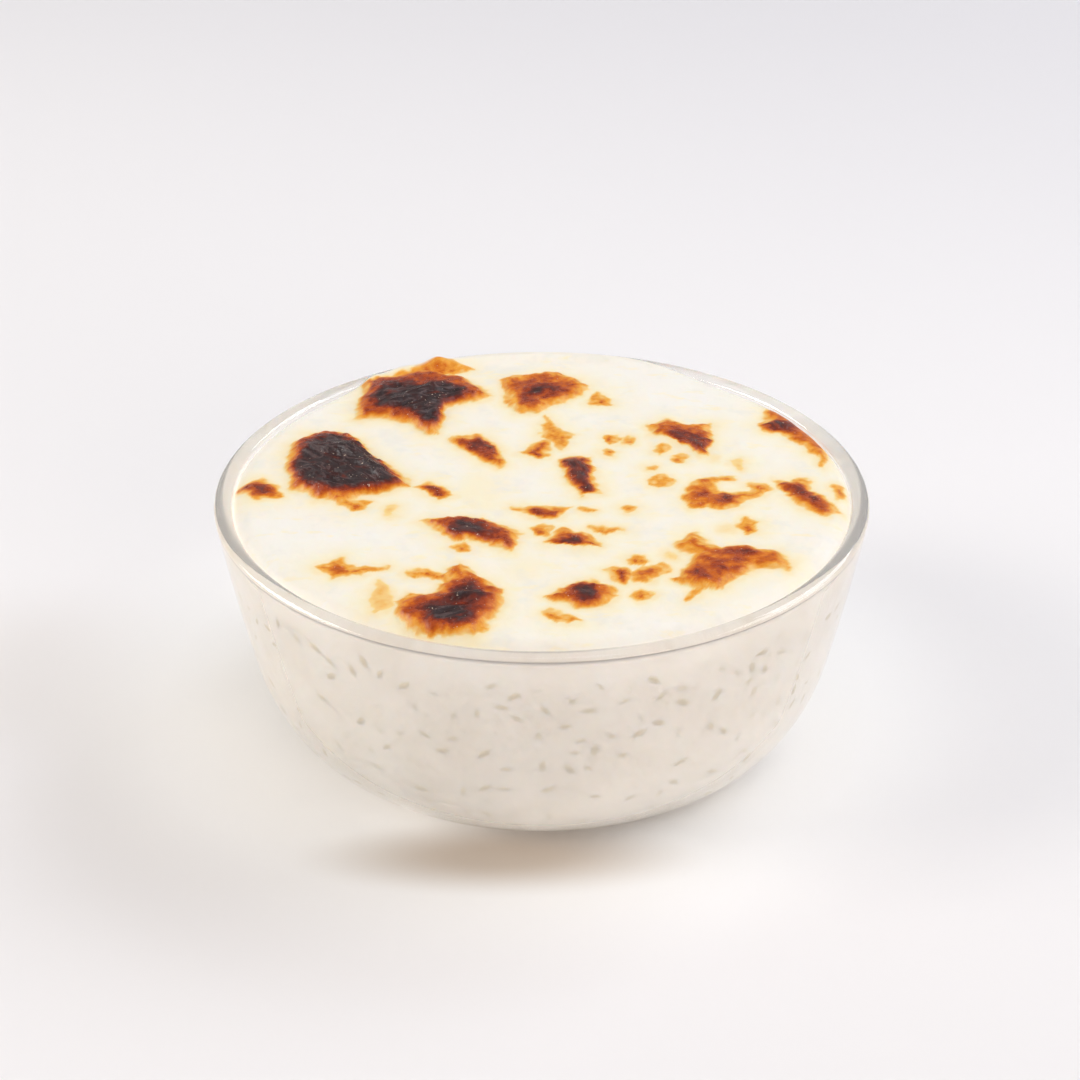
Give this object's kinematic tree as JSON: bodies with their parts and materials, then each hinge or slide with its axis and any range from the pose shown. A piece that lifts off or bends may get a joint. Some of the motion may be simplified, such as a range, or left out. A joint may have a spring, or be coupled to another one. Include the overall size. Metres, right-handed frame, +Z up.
{
  "type": "rice pudding",
  "caption": "Baked rice pudding with a scorched, wrinkled skin, filling a clear round glass bowl to its rounded lip. The bowl stands on a flat foot.",
  "frame": {"origin": "middle of the bowl's foot, on the table", "axes": "+Z up through the middle of the bowl, -Y towards the side that the pudding is eaten from"},
  "size_m": [0.13, 0.13, 0.0538],
  "materials": {
    "glass": "clear, polished",
    "pudding": "moist cream skin with glossy, dark brown scorched patches"
  },
  "bodies": {
    "root": {"bowl": "glass", "pudding": "pudding"}
  },
  "joints": []
}
